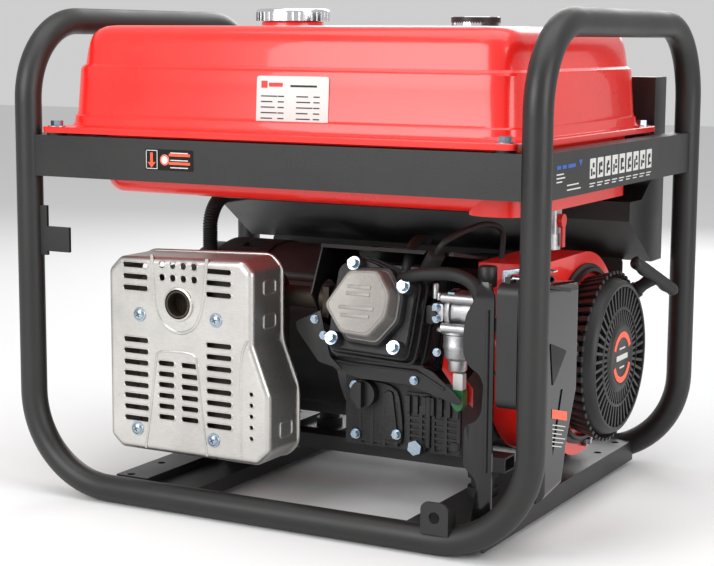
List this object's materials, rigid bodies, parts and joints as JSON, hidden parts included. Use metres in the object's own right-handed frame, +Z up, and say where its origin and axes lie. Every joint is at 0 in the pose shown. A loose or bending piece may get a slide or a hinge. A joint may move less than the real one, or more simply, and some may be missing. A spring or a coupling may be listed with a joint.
{
  "type": "portable generator",
  "caption": "Open-frame petrol generator set with bent tube frame, top fuel tank, leaning-cylinder engine, alternator, side muffler and rear control panel.",
  "frame": {"origin": "under the middle of the frame, at floor level", "axes": "+X towards the recoil starter, -Y towards the muffler side, +Y towards the control panel, +Z up"},
  "size_m": [0.69, 0.53, 0.59],
  "materials": {
    "frame_black": "satin powder coat",
    "sheet_black": "satin",
    "tank_red": "glossy enamel",
    "shroud_red": "glossy enamel",
    "zinc_bolt": "bright zinc",
    "stamped_steel": "satin heat-resisting coat",
    "exhaust_steel": "heat-darkened",
    "cast_dark": "dark painted casting",
    "cast_grey": "grey painted casting",
    "cast_bright": "bare casting",
    "machined_steel": "ground",
    "iron": "laminated iron",
    "copper": "varnished copper wire",
    "rubber": "matte",
    "gasket": "matte",
    "black_plastic": "moulded",
    "gloss_black": "glossy",
    "chrome": "polished",
    "red_plastic": "glossy",
    "blue_plastic": "moulded",
    "green_plastic": "moulded"
  },
  "bodies": {
    "generator": {"left_hoop": "frame_black", "right_hoop": "frame_black", "floor_frame": "frame_black", "tank_beams": "frame_black", "engine_rails": "frame_black", "rubber_mounts": "rubber", "bolts": "zinc_bolt", "cylinder_block": "cast_dark", "crankcase_cover": "cast_dark", "bearings": "machined_steel", "gaskets": "gasket", "cylinder_head": "cast_dark", "valve_cover": "cast_grey", "spark_plug": "rubber", "head_shroud": "sheet_black", "fan_shroud": "shroud_red", "recoil_housing": "black_plastic", "alternator_adapter": "cast_bright", "stator_core": "iron", "stator_windings": "copper", "alternator_end_cover": "cast_dark", "alternator_cap": "black_plastic", "muffler_body": "exhaust_steel", "exhaust_pipes": "exhaust_steel", "muffler_shield": "stamped_steel", "shield_screws": "zinc_bolt", "tank_upper": "tank_red", "tank_lower": "tank_red", "fuel_gauge": "black_plastic", "fuel_tap": "cast_bright", "carburettor": "cast_bright", "cleaner_housing": "black_plastic", "cleaner_cover": "gloss_black", "cleaner_stay": "sheet_black", "hoses_and_leads": "rubber", "panel_box": "sheet_black", "panel_fascia": "sheet_black", "panel_fittings": "black_plastic"},
    "crank": {"crankshaft": "machined_steel", "flywheel": "iron", "rotor": "iron"},
    "camshaft": {"camshaft": "machined_steel"},
    "piston": {"piston": "cast_bright"},
    "recoil_pulley": {"recoil_pulley": "black_plastic"},
    "pull_grip": {"pull_grip": "black_plastic"},
    "cap_insert": {"cap_insert": "black_plastic"},
    "fuel_cap": {"fuel_cap": "chrome"},
    "tap_lever": {"tap_lever": "red_plastic"},
    "throttle_lever": {"throttle_lever": "zinc_bolt"},
    "choke_lever": {"choke_lever": "black_plastic"},
    "near_clip": {"near_clip": "chrome"},
    "far_clip": {"far_clip": "chrome"},
    "socket_lid_1": {"socket_lid_1": "black_plastic"},
    "socket_lid_2": {"socket_lid_2": "black_plastic"},
    "big_socket_lid": {"big_socket_lid": "blue_plastic"},
    "breaker_button_1": {"breaker_button_1": "red_plastic"},
    "breaker_button_2": {"breaker_button_2": "red_plastic"},
    "main_toggle": {"main_toggle": "green_plastic"},
    "switch_key": {"switch_key": "black_plastic"},
    "dipstick": {"dipstick": "black_plastic"}
  },
  "joints": [
    {"name": "crank_turn", "type": "hinge", "parent": "generator", "child": "crank", "pos_m": [0, 0.055, 0.178], "axis": [1, 0, 0], "continuous": true},
    {"name": "cam_turn", "type": "hinge", "parent": "generator", "child": "camshaft", "pos_m": [0.13, 0.11138, 0.15748], "axis": [1, 0, 0], "continuous": true},
    {"name": "piston_slide", "type": "slide", "parent": "generator", "child": "piston", "axis": [0, -0.9511, 0.309], "range_m": [-0.069, 0]},
    {"name": "pulley_turn", "type": "hinge", "parent": "generator", "child": "recoil_pulley", "pos_m": [0.29, 0.055, 0.178], "axis": [1, 0, 0], "range_deg": [-5, 910]},
    {"name": "grip_pull", "type": "slide", "parent": "generator", "child": "pull_grip", "axis": [0.7798, 0.052, 0.6239], "range_m": [0, 0.6], "stiffness_N_per_m": 15, "springref_m": -0.1},
    {"name": "cap_lift", "type": "slide", "parent": "generator", "child": "cap_insert", "axis": [0, 0, 1], "range_m": [0, 0.06]},
    {"name": "cap_turn", "type": "hinge", "parent": "cap_insert", "child": "fuel_cap", "pos_m": [-0.072, -0.06, 0.58], "axis": [0, 0, 1], "range_deg": [0, 90]},
    {"name": "tap_turn", "type": "hinge", "parent": "generator", "child": "tap_lever", "pos_m": [0.284, -0.06, 0.351], "axis": [1, 0, 0], "range_deg": [-90, 0]},
    {"name": "throttle_turn", "type": "hinge", "parent": "generator", "child": "throttle_lever", "pos_m": [0.194, -0.1373, 0.251], "axis": [0, 0, 1], "range_deg": [0, 70], "stiffness_Nm_per_rad": 0.05, "springref_deg": -17.19},
    {"name": "choke_turn", "type": "hinge", "parent": "generator", "child": "choke_lever", "pos_m": [0.222, -0.1373, 0.251], "axis": [0, 0, 1], "range_deg": [0, 70]},
    {"name": "near_clip_turn", "type": "hinge", "parent": "generator", "child": "near_clip", "pos_m": [0.284, -0.206, 0.302], "axis": [0, 1, 0], "range_deg": [-80, 0]},
    {"name": "far_clip_turn", "type": "hinge", "parent": "generator", "child": "far_clip", "pos_m": [0.284, -0.138, 0.302], "axis": [0, 1, 0], "range_deg": [-80, 0]},
    {"name": "socket_lid_1_swing", "type": "hinge", "parent": "generator", "child": "socket_lid_1", "pos_m": [-0.06, 0.2395, 0.366], "axis": [1, 0, 0], "range_deg": [0, 100], "stiffness_Nm_per_rad": 0.02, "springref_deg": -34.38},
    {"name": "socket_lid_2_swing", "type": "hinge", "parent": "generator", "child": "socket_lid_2", "pos_m": [-0.15, 0.2395, 0.366], "axis": [1, 0, 0], "range_deg": [0, 100], "stiffness_Nm_per_rad": 0.02, "springref_deg": -34.38},
    {"name": "big_socket_lid_swing", "type": "hinge", "parent": "generator", "child": "big_socket_lid", "pos_m": [-0.238, 0.2395, 0.384], "axis": [1, 0, 0], "range_deg": [0, 100], "stiffness_Nm_per_rad": 0.02, "springref_deg": -34.38},
    {"name": "breaker_button_1_press", "type": "slide", "parent": "generator", "child": "breaker_button_1", "axis": [0, -1, 0], "range_m": [0, 0.004], "stiffness_N_per_m": 800, "springref_m": -0.001},
    {"name": "breaker_button_2_press", "type": "slide", "parent": "generator", "child": "breaker_button_2", "axis": [0, -1, 0], "range_m": [0, 0.004], "stiffness_N_per_m": 800, "springref_m": -0.001},
    {"name": "toggle_turn", "type": "hinge", "parent": "generator", "child": "main_toggle", "pos_m": [0.03, 0.2345, 0.42], "axis": [1, 0, 0], "range_deg": [-25, 25]},
    {"name": "key_turn", "type": "hinge", "parent": "generator", "child": "switch_key", "pos_m": [0.225, 0.2345, 0.43], "axis": [0, -1, 0], "range_deg": [0, 90]},
    {"name": "dipstick_pull", "type": "slide", "parent": "generator", "child": "dipstick", "axis": [0, -1, 0], "range_m": [0, 0.08]}
  ],
  "couplings": [
    {"joint": "cam_turn", "follows": "crank_turn", "ratio": -0.5},
    {"joint": "pulley_turn", "follows": "grip_pull", "rad_per_m": 25.974}
  ]
}
